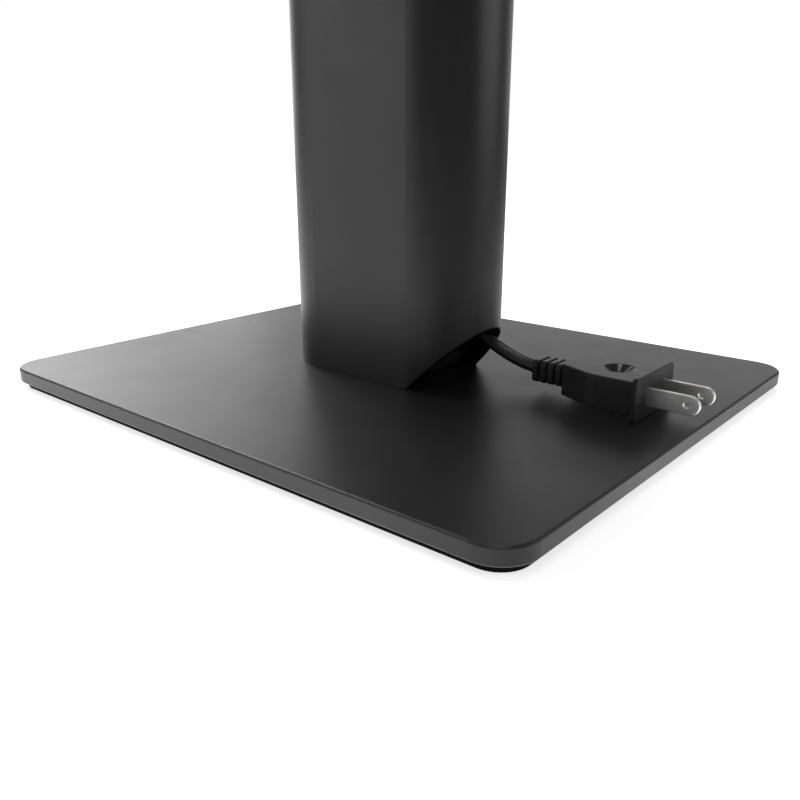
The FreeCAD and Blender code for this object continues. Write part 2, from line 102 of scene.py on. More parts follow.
class StandPlugSettings(bpy.types.PropertyGroup):
    """Sizes of the moulded plug that its packed box doesn't tell."""

    body_width: bpy.props.FloatProperty(
        name="Body width", description="Width of the moulded body in front of its flare",
        subtype="DISTANCE", unit="LENGTH", min=0.01, default=0.0264)
    body_height: bpy.props.FloatProperty(
        name="Body height", description="Height of the moulded body",
        subtype="DISTANCE", unit="LENGTH", min=0.005, default=0.0117)
    rear_width: bpy.props.FloatProperty(
        name="Rear width", description="Width of the body where the relief meets it",
        subtype="DISTANCE", unit="LENGTH", min=0.005, default=0.0149)
    flare_length: bpy.props.FloatProperty(
        name="Flare length", description="Length over which the body widens",
        subtype="DISTANCE", unit="LENGTH", min=0.001, default=0.0130)
    flange_thickness: bpy.props.FloatProperty(
        name="Flange thickness", description="Thickness of the flange at the blades",
        subtype="DISTANCE", unit="LENGTH", min=0.0005, default=0.0018)
    flare_radius: bpy.props.FloatProperty(
        name="Flare radius", description="Radius where the flare turns into the straight sides",
        subtype="DISTANCE", unit="LENGTH", min=0.001, default=0.0126)
    edge_ease: bpy.props.FloatProperty(
        name="Edge ease", description="Radius of the body's upper and lower edges",
        subtype="DISTANCE", unit="LENGTH", min=0.0001, default=0.0007)
    rib_count: bpy.props.IntProperty(
        name="Ribs", description="Number of ribs on the strain relief", min=1, default=4)
    rib_thickness: bpy.props.FloatProperty(
        name="Rib thickness", description="Thickness of a rib along the cord",
        subtype="DISTANCE", unit="LENGTH", min=0.0005, default=0.00235)
    blade_thickness: bpy.props.FloatProperty(
        name="Blade thickness", description="Thickness of a blade's strip",
        subtype="DISTANCE", unit="LENGTH", min=0.0005, default=0.0015)
    blade_hole: bpy.props.FloatProperty(
        name="Blade hole", description="Radius of the hole near a blade's tip",
        subtype="DISTANCE", unit="LENGTH", min=0.0005, default=0.0011)
    hole_from_tip: bpy.props.FloatProperty(
        name="Hole place", description="How far a blade's hole is from its tip",
        subtype="DISTANCE", unit="LENGTH", min=0.001, default=0.0044)
    dish_from_rear: bpy.props.FloatProperty(
        name="Dish place", description="How far the finger dish's middle is from the body's rear",
        subtype="DISTANCE", unit="LENGTH", min=0.001, default=0.0176)
    dish_radius: bpy.props.FloatProperty(
        name="Dish radius", description="Radius of the finger dish at its rim",
        subtype="DISTANCE", unit="LENGTH", min=0.001, default=0.0056)
    dish_floor_radius: bpy.props.FloatProperty(
        name="Dish floor", description="Radius of the finger dish's floor",
        subtype="DISTANCE", unit="LENGTH", min=0.0005, default=0.0023)
    dish_depth: bpy.props.FloatProperty(
        name="Dish depth", description="Depth of the finger dish",
        subtype="DISTANCE", unit="LENGTH", min=0.0005, default=0.0022)
    moulding_colour: bpy.props.FloatVectorProperty(
        name="Moulding", description="Colour of the moulded plug and connector",
        subtype="COLOR", size=3, min=0.0, max=1.0, default=(0.0310, 0.0310, 0.0316))


class StandPadSettings(bpy.types.PropertyGroup):
    """Sizes of the foam pad and of the rubber cushions."""

    pad_corner: bpy.props.FloatProperty(
        name="Pad corner", description="Radius of the foam pad's corners",
        subtype="DISTANCE", unit="LENGTH", min=0.001, default=0.0095)
    pad_ease: bpy.props.FloatProperty(
        name="Pad ease", description="Radius of the foam pad's upper and lower edges",
        subtype="DISTANCE", unit="LENGTH", min=0.0001, default=0.0004)
    window_radius: bpy.props.FloatProperty(
        name="Window radius", description="Radius of the foam's windows for the screw heads",
        subtype="DISTANCE", unit="LENGTH", min=0.001, default=0.0105)
    cushion_width: bpy.props.FloatProperty(
        name="Cushion width", description="Width of a rubber cushion",
        subtype="DISTANCE", unit="LENGTH", min=0.005, default=0.022)
    cushion_corner: bpy.props.FloatProperty(
        name="Cushion corner", description="Radius of a cushion's corners",
        subtype="DISTANCE", unit="LENGTH", min=0.001, default=0.0042)
    cushion_ease: bpy.props.FloatProperty(
        name="Cushion ease", description="Radius of a cushion's upper and lower edges",
        subtype="DISTANCE", unit="LENGTH", min=0.0001, default=0.0006)


class StandCordSettings(bpy.types.PropertyGroup):
    """The power cord."""

    diameter: bpy.props.FloatProperty(
        name="Cord diameter", description="Outer diameter of the cord's jacket",
        subtype="DISTANCE", unit="LENGTH", min=0.002, default=0.0049)
    foot_length: bpy.props.FloatProperty(
        name="Foot tail", description="Length of the free cord from the foot clamp to the plug",
        subtype="DISTANCE", unit="LENGTH", min=0.03, default=0.067)
    top_length: bpy.props.FloatProperty(
        name="Top tail", description="Length of the free cord from the top clamp to the connector",
        subtype="DISTANCE", unit="LENGTH", min=0.03, default=0.0635)
    jacket_colour: bpy.props.FloatVectorProperty(
        name="Jacket", description="Colour of the cord's jacket",
        subtype="COLOR", size=3, min=0.0, max=1.0, default=(0.0270, 0.0270, 0.0276))


class StandStudioSettings(bpy.types.PropertyGroup):
    """The plain studio round the stand."""

    lens: bpy.props.FloatProperty(
        name="Lens", description="Focal length of the camera",
        subtype="DISTANCE_CAMERA", unit="CAMERA", min=10.0, default=36.471)
    camera_place: bpy.props.FloatVectorProperty(
        name="Camera place", description="Where the camera stands",
        subtype="TRANSLATION", unit="LENGTH", size=3, default=(0.240822, 0.206280, 0.099315))
    camera_tilt: bpy.props.FloatProperty(
        name="Camera tilt", description="How far the camera looks below the horizon",
        subtype="ANGLE", unit="ROTATION", default=math.radians(18.425))
    camera_heading: bpy.props.FloatProperty(
        name="Camera heading", description="Which way the camera faces, turned from +Y",
        subtype="ANGLE", unit="ROTATION", default=math.radians(130.3405))
    room_light: bpy.props.FloatProperty(
        name="Room light", description="Brightness of the room apart from its backdrop",
        min=0.0, default=0.15)
    floor_white: bpy.props.FloatProperty(
        name="Floor white", description="How much of the floor's white is only seen, not lit",
        subtype="FACTOR", min=0.0, max=1.0, default=0.72)
    backdrop_heading: bpy.props.FloatProperty(
        name="Backdrop heading", description="Where the backdrop stands, turned from +X",
        subtype="ANGLE", unit="ROTATION", default=math.radians(-140.0))
    overhead_power: bpy.props.FloatProperty(
        name="Overhead light", description="Power of the small soft light overhead",
        unit="POWER", min=0.0, default=10.0)
    front_power: bpy.props.FloatProperty(
        name="Front light", description="Power of the soft light high on the viewer's side",
        unit="POWER", min=0.0, default=1.8)
    high_back_power: bpy.props.FloatProperty(
        name="High back light", description="Power of the soft light high behind the stand",
        unit="POWER", min=0.0, default=18.9)
    low_back_power: bpy.props.FloatProperty(
        name="Low back light", description="Power of the soft light low behind the stand",
        unit="POWER", min=0.0, default=1.75)
    left_power: bpy.props.FloatProperty(
        name="Left light", description="Power of the soft light low on the viewer's left",
        unit="POWER", min=0.0, default=2.4)
    right_power: bpy.props.FloatProperty(
        name="Right light", description="Power of the soft light low on the viewer's right",
        unit="POWER", min=0.0, default=4.0)


SETTINGS = {
    "stand_finish": StandFinishSettings,
    "stand_plug": StandPlugSettings,
    "stand_pads": StandPadSettings,
    "stand_cord": StandCordSettings,
    "stand_studio": StandStudioSettings,
}


# ---- Material helpers ----
class Finish:
    """A Principled material whose grain is worked out from object coordinates, in metres."""

    def __init__(self, name, colour, roughness, metallic=0.0, specular=0.5):
        self.material = bpy.data.materials.new(name)
        self.material.use_nodes = True
        self.tree = self.material.node_tree
        self.shader = self.tree.nodes["Principled BSDF"]
        self.colour = tuple(colour) + (1.0,)
        self.shader.inputs["Base Color"].default_value = self.colour
        self.shader.inputs["Roughness"].default_value = roughness
        self.shader.inputs["Metallic"].default_value = metallic
        self.shader.inputs["Specular IOR Level"].default_value = specular
        self.place = self.add("ShaderNodeTexCoord").outputs["Object"]
        self.normal = None

    def add(self, kind, **sockets):
        """Adds a node and sets its sockets, whose names have _ for a space."""
        node = self.tree.nodes.new(kind)
        for socket, value in sockets.items():
            node.inputs[socket.replace("_", " ")].default_value = value
        return node

    def join(self, output, socket):
        """Links an output to a socket."""
        self.tree.links.new(output, socket)

    def noise(self, size, detail=2.0, stretch=(1.0, 1.0, 1.0)):
        """Noise whose features are about `size` metres across, stretched along the axes."""
        node = self.add("ShaderNodeTexNoise", Scale=1.0 / size, Detail=detail)
        if stretch == (1.0, 1.0, 1.0):
            self.join(self.place, node.inputs["Vector"])
        else:
            mapping = self.add("ShaderNodeMapping")
            mapping.inputs["Scale"].default_value = [1.0 / s for s in stretch]
            self.join(self.place, mapping.inputs["Vector"])
            self.join(mapping.outputs["Vector"], node.inputs["Vector"])
        return node.outputs["Fac"]

    def cells(self, size):
        """Foam-like cells about `size` metres across."""
        node = self.add("ShaderNodeTexVoronoi", Scale=1.0 / size)
        self.join(self.place, node.inputs["Vector"])
        return node.outputs["Distance"]

    def between(self, factor, low, high):
        """Maps a noise from its middle range on to low..high."""
        node = self.add("ShaderNodeMapRange", From_Min=NOISE_LOW, From_Max=NOISE_HIGH,
                        To_Min=low, To_Max=high)
        self.join(factor, node.inputs["Value"])
        return node.outputs["Result"]

    def maths(self, operation, value, other=0.0):
        """The result of a maths node."""
        return maths(self.tree, operation, value, other)

    def from_axis(self, x, y):
        """How far a place is from the upright axis through (x, y)."""
        level = self.add("ShaderNodeVectorMath")
        level.operation = "MULTIPLY"
        level.inputs[1].default_value = (1.0, 1.0, 0.0)
        self.join(self.place, level.inputs[0])
        return vector_maths(self.tree, "DISTANCE", level.outputs["Vector"], (x, y, 0.0))

    def where(self, mask, socket_name, value):
        """Puts another value on a socket of the shader where the mask is 1."""
        socket = self.shader.inputs[socket_name]
        mix = self.tree.nodes.new("ShaderNodeMix")
        mix.data_type = "RGBA" if socket.type == "RGBA" else "FLOAT"
        low, high, result = ([s for s in group if s.type == socket.type and s.name == label][0]
                             for group, label in ((mix.inputs, "A"), (mix.inputs, "B"),
                                                  (mix.outputs, "Result")))
        self.join(mask, mix.inputs["Factor"])
        if socket.is_linked:
            self.join(socket.links[0].from_socket, low)
        else:
            low.default_value = socket.default_value
        high.default_value = value
        self.join(result, socket)
        return self

    def vary_colour(self, factor, darker, lighter):
        """Shades the colour between two shares of itself."""
        ramp = self.tree.nodes.new("ShaderNodeValToRGB")
        for stop, at, share in zip(ramp.color_ramp.elements, (NOISE_LOW, NOISE_HIGH),
                                   (darker, lighter)):
            stop.position = at
            stop.color = tuple(c * share for c in self.colour[:3]) + (1.0,)
        self.join(factor, ramp.inputs["Fac"])
        self.join(ramp.outputs["Color"], self.shader.inputs["Base Color"])
        return self

    def vary_roughness(self, factor, low, high):
        """Spreads the roughness over low..high."""
        self.join(self.between(factor, low, high), self.shader.inputs["Roughness"])
        return self

    def bump(self, height, depth):
        """Adds a relief `depth` metres deep; several calls lie on each other."""
        node = self.add("ShaderNodeBump", Distance=depth)
        self.join(height, node.inputs["Height"])
        if self.normal:
            self.join(self.normal, node.inputs["Normal"])
        self.normal = node.outputs["Normal"]
        self.join(self.normal, self.shader.inputs["Normal"])
        return self

    def rounded_edges(self, radius):
        """Softens the shading of the edges, so that they catch the light as real ones do."""
        node = self.add("ShaderNodeBevel", Radius=radius)
        node.samples = 6
        self.normal = node.outputs["Normal"]
        self.join(self.normal, self.shader.inputs["Normal"])
        return self


def dress(node_name, finish):
    """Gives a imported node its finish."""
    for slot in NODES[node_name].material_slots:
        slot.material = finish.material


# ---- Finishes ----
def powder_coat(settings, name="powder_coat"):
    """Satin black powder coat with a fine grain."""
    roughness, unevenness = settings.coat_roughness, 0.02
    finish = Finish(name, settings.coat_colour, roughness)
    finish.rounded_edges(radius=0.0005)
    finish.vary_colour(finish.noise(settings.coat_grain * 0.5, detail=1.0),
                       darker=0.80, lighter=1.20)
    finish.vary_roughness(finish.noise(size=0.02, detail=3.0),
                          low=roughness - unevenness, high=roughness + unevenness)
    return finish.bump(finish.noise(settings.coat_grain, detail=3.0), depth=0.00002)


def plate_coat(settings):
    """The powder coat, with painted light on the plate's cut sides and their broken edges, which
    are made paler than the top.
    """
    finish = powder_coat(settings, "powder_coat_plate")
    apart = finish.add("ShaderNodeSeparateXYZ")
    finish.join(finish.place, apart.inputs["Vector"])
    below = finish.maths("LESS_THAN", apart.outputs["Z"], PLATE_TOP - PLATE_SKIN)
    # Painted light: the cut sides and broken edges are paler than the top, standing in for the
    # light they reflect.
    finish.where(below, "Base Color", (*settings.painted_light_side_colour, 1.0))
    return finish


def column_coat(settings):
    """The powder coat outside, with painted shade on the bore and the outlet's cut: near black,
    rough and fully metallic there, so that they reflect almost nothing.
    """
    finish = powder_coat(settings, "powder_coat_column")
    apart = finish.add("ShaderNodeSeparateXYZ")
    finish.join(finish.place, apart.inputs["Vector"])
    past_flat = finish.maths("SUBTRACT", finish.maths("ABSOLUTE", apart.outputs["Y"]),
                             COLUMN_FLAT_HALF)
    across = finish.add("ShaderNodeCombineXYZ")
    finish.join(apart.outputs["X"], across.inputs["X"])
    finish.join(finish.maths("MAXIMUM", past_flat, 0.0), across.inputs["Y"])
    from_core = vector_maths(finish.tree, "LENGTH", across.outputs["Vector"])
    inside = finish.maths("LESS_THAN", from_core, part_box("column_tube")[1].x - COLUMN_SKIN)
    # Painted shade: the bore and the outlet's cut are made near black, rough and fully metallic,
    # so that the inside of the column looks dark.
    for socket, painted_shade in (("Base Color", (0.003, 0.003, 0.003, 1.0)), ("Roughness", 0.8),
                              ("Metallic", 1.0)):
        finish.where(inside, socket, painted_shade)
    return finish


def foam(settings):
    """Matte foam rubber with open cells."""
    finish = Finish("foam_rubber", settings.foam_colour, roughness=0.9, specular=0.2)
    finish.vary_colour(finish.noise(size=0.001), darker=0.7, lighter=1.4)
    return finish.bump(finish.cells(size=0.0006), depth=0.0002)


def cushion_rubber(settings):
    """Dense matte rubber."""
    finish = Finish("cushion_rubber", settings.rubber_colour, roughness=0.65, specular=0.35)
    finish.vary_colour(finish.noise(size=0.0015), darker=0.85, lighter=1.2)
    return finish.bump(finish.noise(size=0.0003), depth=0.00003)


def black_oxide():
    """The blackened steel of the socket screws."""
    finish = Finish("black_oxide", (0.03, 0.03, 0.032), roughness=0.35, metallic=0.8)
    finish.vary_colour(finish.noise(size=0.002), darker=0.8, lighter=1.3)
    finish.vary_roughness(finish.noise(size=0.0008), low=0.28, high=0.42)
    return finish.bump(finish.noise(size=0.0002), depth=0.00001)


def zinc():
    """Zinc plate, slightly cloudy."""
    finish = Finish("zinc_plate", (0.52, 0.53, 0.55), roughness=0.3, metallic=1.0)
    finish.vary_colour(finish.noise(size=0.003), darker=0.9, lighter=1.08)
    finish.vary_roughness(finish.noise(size=0.001), low=0.25, high=0.38)
    return finish.bump(finish.noise(size=0.0003), depth=0.000008)


def primer():
    """Matte black primer on the brackets."""
    finish = Finish("black_primer", (0.007, 0.007, 0.0075), roughness=0.75, specular=0.3)
    finish.vary_colour(finish.noise(size=0.004, detail=4.0), darker=0.8, lighter=1.25)
    return finish.bump(finish.noise(size=0.0008, detail=3.0), depth=0.00004)


def nylon():
    """The moulded nylon of the cord saddles."""
    finish = Finish("saddle_nylon", (0.018, 0.018, 0.019), roughness=0.42)
    finish.rounded_edges(radius=0.0004)
    finish.vary_roughness(finish.noise(size=0.002), low=0.38, high=0.48)
    return finish.bump(finish.noise(size=0.0004), depth=0.000015)


def jacket(settings):
    """The cord's satin jacket."""
    finish = Finish("cord_jacket", settings.jacket_colour, roughness=0.42, specular=0.9)
    finish.vary_colour(finish.noise(size=0.004), darker=0.85, lighter=1.2)
    finish.vary_roughness(finish.noise(size=0.0015), low=0.38, high=0.46)
    return finish.bump(finish.noise(size=0.0004), depth=0.000012)


def moulding(settings, name="moulding"):
    """The plug's and the connector's moulded plastic, with a fine spark texture."""
    finish = Finish(name, settings.moulding_colour, roughness=0.34, specular=0.2)
    finish.vary_roughness(finish.noise(size=0.003), low=0.32, high=0.36)
    finish.vary_colour(finish.noise(size=0.0006), darker=0.88, lighter=1.14)
    return finish.bump(finish.noise(size=0.00025), depth=0.000006)


def dished_moulding(settings):
    """The moulding with its finger dish polished."""
    finish = moulding(settings, "moulding_dished")
    polished = 0.22
    in_dish = finish.maths("LESS_THAN", finish.from_axis(*dish_place(settings)),
                           settings.dish_radius)
    return finish.where(in_dish, "Roughness", polished)


def nickel():
    """Nickel plate on blades that were drawn along Y."""
    finish = Finish("nickel_plate", (0.92, 0.91, 0.90), roughness=0.37, metallic=1.0)
    drawn = finish.noise(size=0.0005, detail=3.0, stretch=(1.0, 20.0, 1.0))
    finish.vary_roughness(drawn, low=0.34, high=0.40)
    finish.vary_colour(finish.noise(size=0.003, detail=3.0), darker=0.92, lighter=1.05)
    return finish.bump(drawn, depth=0.0000015)


def brass():
    """The connector's bright contacts."""
    finish = Finish("contact_brass", (0.70, 0.50, 0.22), roughness=0.25, metallic=1.0)
    return finish.vary_roughness(finish.noise(size=0.0008), low=0.18, high=0.34)


# ---- Mesh helpers ----
def new_piece(name, data, finish, stands_for):
    """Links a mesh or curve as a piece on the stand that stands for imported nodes."""
    piece = link_object(name, data)
    piece.data.materials.append(finish.material)
    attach(piece, "root")
    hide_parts(*stands_for)
    return piece


def link_object(name, data):
    """Links a new object to the scene."""
    thing = bpy.data.objects.new(name, data)
    bpy.context.scene.collection.objects.link(thing)
    return thing


def loft(name, *solids):
    """One mesh of closed solids, each a skin over rings of equally many points."""
    mesh = bmesh.new()
    for rings in solids:
        made = [[mesh.verts.new(place) for place in ring] for ring in rings]
        count = len(made[0])
        for low, high in zip(made, made[1:]):
            for k in range(count):
                mesh.faces.new((low[k], low[(k + 1) % count], high[(k + 1) % count], high[k]))
        mesh.faces.new(list(reversed(made[0])))
        mesh.faces.new(made[-1])
    bmesh.ops.recalc_face_normals(mesh, faces=mesh.faces)
    data = bpy.data.meshes.new(name)
    mesh.to_mesh(data)
    mesh.free()
    return data


def arc(centre, radius, start, sweep, steps=8):
    """Points (u, v) of a circle's stretch, in degrees."""
    turns = [math.radians(start + sweep * k / steps) for k in range(steps + 1)]
    return [(centre[0] + radius * math.cos(t), centre[1] + radius * math.sin(t)) for t in turns]


def rounded_rectangle(width, height, radius, steps=8):
    """Points (u, v) round a rectangle centred on the origin, anticlockwise."""
    u, v = width / 2 - radius, height / 2 - radius
    corners = ((u, v, 0), (-u, v, 90), (-u, -v, 180), (u, -v, 270))
    return [p for x, y, start in corners for p in arc((x, y), radius, start, 90, steps)]


def inset_outline(outline, inset):
    """Moves an anticlockwise outline inwards by a distance."""
    points = [Vector(p) for p in outline]
    moved = []
    for before, here, after in zip(points[-1:] + points[:-1], points, points[1:] + points[:1]):
        arriving, leaving = (here - before).normalized(), (after - here).normalized()
        side = Vector((-arriving.y, arriving.x))
        inward = Vector((-arriving.y - leaving.y, arriving.x + leaving.x)).normalized()
        moved.append(here + inward * inset / inward.dot(side))
    return moved


def eased_slab(outline, depth, ease, place, steps=4):
    """Rings of a slab over an outline, with both rims rounded by `ease`.

    `place` turns (u, v, height) into a point.
    """
    turns = [math.radians(90 * k / steps) for k in range(steps + 1)]
    rim = [(ease * (1 - math.sin(t)), ease * (1 - math.cos(t))) for t in turns]
    layers = rim + [(inset, depth - height) for inset, height in reversed(rim)]
    return [[place(p.x, p.y, height) for p in inset_outline(outline, inset)]
            for inset, height in layers]


def turned(profile, centre, axis="Z", steps=48):
    """Rings of a solid turned about X or Z through `centre`, from (radius, height) pairs."""
    order = {"X": (2, 0, 1), "Z": (0, 1, 2)}[axis]
    rings = []
    for radius, height in profile:
        ring = []
        for u, v in arc((0.0, 0.0), radius, 0.0, 360.0 * (steps - 1) / steps, steps - 1):
            local = (u, v, height)
            ring.append(tuple(c + local[k] for c, k in zip(centre, order)))
        rings.append(ring)
    return rings


def cut(target, operation, *solids):
    """Joins solids to a piece, or cuts them out of it, one by one."""
    for rings in solids:
        tool = link_object("tool", loft("tool", rings))
        modifier = target.modifiers.new(operation.lower(), "BOOLEAN")
        modifier.operation = operation
        modifier.solver = "EXACT"
        modifier.object = tool
        graph = bpy.context.evaluated_depsgraph_get()
        made = bpy.data.meshes.new_from_object(target.evaluated_get(graph))
        target.modifiers.clear()
        target.data = made
        bpy.data.objects.remove(tool)


def smooth(piece, angle=40.0):
    """Smooth shading apart from edges sharper than the angle, with flat faces kept flat."""
    for face in piece.data.polygons:
        face.use_smooth = True
    piece.data.set_sharp_from_angle(angle=math.radians(angle))
    weighted = piece.modifiers.new("weighted_normals", "WEIGHTED_NORMAL")
    weighted.keep_sharp = True


# ---- Cord ----
def cord_curve(name, points, diameter):
    """A round cord along a smooth spline that the points steer."""
    data = bpy.data.curves.new(name, "CURVE")
    data.dimensions = "3D"
    data.bevel_depth = diameter / 2
    data.bevel_resolution = 10
    data.resolution_u = 16
    data.use_fill_caps = True
    spline = data.splines.new("NURBS")
    spline.points.add(len(points) - 1)
    for point, place in zip(spline.points, points):
        point.co = (*place, 1.0)
    spline.order_u = 3
    spline.use_endpoint_u = True
    return data


# The routes, in metres. The foot tail's heights are above the plate, the top tail's above
# the platform.
FOOT_ROUTE = [
    (-0.0072, 0.02405, 0.0462),
    (-0.0072, 0.02405, 0.0347),
    (-0.0086, 0.0282, 0.0240),
    (-0.0102, 0.0362, 0.0156),
    (-0.0112, 0.0462, 0.0106),
    (-0.0119, 0.0564, 0.00755),
    (-0.0119, 0.0671, 0.00755),
]
TOP_ROUTE = [
    (-0.0072, 0.02405, -0.0340),
    (-0.0072, 0.02405, -0.0210),
    (-0.0026, 0.0248, -0.0089),
    (0.0063, 0.0262, -0.0001),
    (0.0182, 0.0274, 0.0047),
    (0.0309, 0.0274, 0.0047),
]
# Inside the column: share of the way up, and offsets in X and Y.
COLUMN_ROUTE = [
    (0.0, 0.0, 0.0),
    (0.03, 0.0, 0.0),
    (0.085, 0.0004, 0.0015),
    (0.19, 0.0012, 0.0046),
    (0.31, 0.0020, 0.0074),
    (0.43, 0.0025, 0.0091),
    (0.55, 0.0026, 0.0095),
    (0.67, 0.0022, 0.0086),
    (0.78, 0.0015, 0.0064),
    (0.87, 0.0008, 0.0037),
    (0.93, 0.0003, 0.0015),
    (0.97, 0.0, 0.0),
    (1.0, 0.0, 0.0),
]


def raised(points, height):
    """The points, higher by a height."""
    return [(x, y, z + height) for x, y, z in points]


# ---- Plug ----
def plug_outline(settings, rear, front):
    """Plan (u, y) of the moulded body: a narrow rear that flares out to straight sides."""
    rear_half, half = settings.rear_width / 2, settings.body_width / 2
    slope = math.atan2(half - rear_half, settings.flare_length)
    reach = settings.flare_radius * math.tan(slope / 2)
    centre = (half - settings.flare_radius, rear + settings.flare_length + reach)
    flare = arc(centre, settings.flare_radius, -math.degrees(slope), math.degrees(slope))
    right = [(rear_half, rear)] + flare + [(half, front)]
    return right + [(-u, y) for u, y in reversed(right)]


def plug_moulding(settings, finish):
    """The flared body and its flange, with the finger dish in its top."""
    low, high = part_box("plug_body")
    middle_x, middle_z = (low.x + high.x) / 2, (low.z + high.z) / 2
    flange_y = high.y - settings.flange_thickness
    flange_corner, flange_ease, sunk = 0.0016, 0.0004, 0.4 * settings.flange_thickness
    bottom = middle_z - settings.body_height / 2
    outline = plug_outline(settings, low.y, flange_y + sunk)
    body = eased_slab(outline, settings.body_height, settings.edge_ease,
                      lambda u, y, height: (middle_x + u, y, bottom + height))
    flange = eased_slab(rounded_rectangle(high.x - low.x, high.z - low.z, flange_corner),
                        settings.flange_thickness, flange_ease,
                        lambda u, v, height: (middle_x + u, flange_y + height, middle_z + v))
    piece = new_piece("plug_moulding", loft("plug_moulding", body), finish,
                      ["plug_body"])
    cut(piece, "UNION", flange)
    cut(piece, "DIFFERENCE", finger_dish(settings, bottom + settings.body_height))
    smooth(piece)


def dish_place(settings):
    """Where the finger dish's axis stands."""
    low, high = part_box("plug_body")
    return (low.x + high.x) / 2, low.y + settings.dish_from_rear


def finger_dish(settings, top):
    """A conical hollow with a rounded floor and a slightly softened rim."""
    rim, floor, depth = settings.dish_radius, settings.dish_floor_radius, settings.dish_depth
    slope = math.atan2(depth, rim - floor)
    lip, bend, flat_middle = 0.00015, 0.0012, 0.3 * floor
    centre = (floor - bend * math.tan(slope / 2), bend - depth)
    profile = [(flat_middle, -depth)] + arc(centre, bend, -90.0, math.degrees(slope))
    profile += [(rim - lip * math.cos(slope), -lip * math.sin(slope)), (rim, -0.2 * lip),
                (rim + lip, 0.0), (rim + lip, depth)]
    return turned(profile, (*dish_place(settings), top), steps=64)


def ribbed_relief(settings, finish):
    """The strain relief: a soft core with rounded ribs across it."""
    low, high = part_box("plug_relief")
    middle_x, middle_z = (low.x + high.x) / 2, (low.z + high.z) / 2
    width, height_all, length = high.x - low.x, high.z - low.z, high.y - low.y
    core_width, core_height = 0.76 * width, 0.80 * height_all
    core_corner, core_ease, rib_corner, rib_ease = 0.0030, 0.0003, 0.0018, 0.00045
    pitch = (length - settings.rib_thickness / 2) / settings.rib_count

    def across(y):
        return lambda u, v, height: (middle_x + u, y + height, middle_z + v)

    core = eased_slab(rounded_rectangle(core_width, core_height, core_corner), length,
                      core_ease, across(low.y))
    section = rounded_rectangle(width, height_all, rib_corner)
    ribs = [eased_slab(section, settings.rib_thickness, rib_ease, across(low.y + k * pitch))
            for k in range(settings.rib_count)]
    piece = new_piece("plug_strain_relief", loft("plug_strain_relief", core), finish,
                      ["plug_relief"])
    cut(piece, "UNION", *ribs)
    smooth(piece)


def pierced_blades(settings, finish):
    """Two flat blades with round tips, eased rims and a chamfered hole each."""
    low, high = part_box("plug_blades")
    root, tip = low.y, high.y
    middle_z, half = (low.z + high.z) / 2, (high.z - low.z) / 2
    tip_middle = (tip - half, middle_z)
    outline = [(root, middle_z - half)] + arc(tip_middle, half, -90.0, 180.0, 24)
    outline.append((root, middle_z + half))
    thickness, hole = settings.blade_thickness, settings.blade_hole
    ease, chamfer = 0.00028, 0.0001
    slabs, holes = [], []
    for x in (low.x, high.x - thickness):
        slabs.append(eased_slab(outline, thickness, ease,
                                lambda y, z, height, x=x: (x + height, y, z), steps=3))
        profile = [(hole + 2 * chamfer, -chamfer), (hole, chamfer),
                   (hole, thickness - chamfer), (hole + 2 * chamfer, thickness + chamfer)]
        holes.append(turned(profile, (x, tip - settings.hole_from_tip, middle_z), axis="X",
                            steps=32))
    piece = new_piece("plug_blade_pair", loft("plug_blade_pair", *slabs), finish,
                      ["plug_blades"])
    cut(piece, "DIFFERENCE", *holes)
    smooth(piece, angle=50.0)


# ---- Pads ----
def foam_pad(settings, finish):
    """The pad under the base plate, with a window for each screw head."""
    low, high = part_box("base_foam")
    outline = rounded_rectangle(high.x - low.x, high.y - low.y, settings.pad_corner, 12)
    slab = eased_slab(outline, high.z - low.z, settings.pad_ease,
                      lambda u, v, height: (u, v, low.z + height), steps=3)
    piece = new_piece("foam_pad", loft("foam_pad", slab), finish, ["base_foam"])
    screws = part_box("base_screws")
    radius = settings.window_radius
    head = (screws[1].x - screws[0].x) / 2
    for y in (screws[0].y + head, screws[1].y - head):
        cut(piece, "DIFFERENCE",
            turned([(radius, -radius), (radius, radius)], (0.0, y, low.z), steps=40))
    smooth(piece)


def rubber_cushions(settings, finish):
    """Four small cushions at the platform's corners, with eased edges."""
    low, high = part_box("platform_cushions")
    width = settings.cushion_width
    outline = rounded_rectangle(width, width, settings.cushion_corner)
    slabs = [eased_slab(outline, high.z - low.z, settings.cushion_ease,
                        lambda u, v, height, x=x, y=y: (x + u, y + v, low.z + height))
             for x in (low.x + width / 2, high.x - width / 2)
             for y in (low.y + width / 2, high.y - width / 2)]
    piece = new_piece("rubber_cushions", loft("rubber_cushions", *slabs), finish,
                      ["platform_cushions"])
    smooth(piece)


# ---- Operators ----
class SPEAKERSTAND_OT_steel(bpy.types.Operator):
    """Powder-coats the base plate, the column and the platform"""

    bl_idname = "speaker_stand.coat_steel"
    bl_label = "Coat the Steel"

    def execute(self, context):
        settings = context.scene.stand_finish
        coat = powder_coat(settings)
        dress("base_plate", plate_coat(settings))
        dress("platform", coat)
        dress("column_tube", column_coat(settings))
        return {"FINISHED"}


class SPEAKERSTAND_OT_hardware(bpy.types.Operator):
    """Finishes the brackets, screws, weld nuts and cord saddles"""

    bl_idname = "speaker_stand.finish_hardware"
    bl_label = "Finish the Hardware"

    def execute(self, context):
        oxide, plated, primed = black_oxide(), zinc(), primer()
        for node, finish in (
            ("base_screws", oxide),
            ("platform_screws", oxide),
            ("foot_bracket", primed),
            ("top_bracket", primed),
            ("foot_weld_nuts", plated),
            ("top_weld_nuts", plated),
            ("saddle_screws", plated),
            ("cord_saddles", nylon()),
        ):
            dress(node, finish)
        return {"FINISHED"}


class SPEAKERSTAND_OT_pads(bpy.types.Operator):
    """Makes the foam pad under the base and the rubber cushions on the platform"""

    bl_idname = "speaker_stand.make_pads"
    bl_label = "Make the Pads"

    def execute(self, context):
        finishes, pads = context.scene.stand_finish, context.scene.stand_pads
        foam_pad(pads, foam(finishes))
        rubber_cushions(pads, cushion_rubber(finishes))
        return {"FINISHED"}


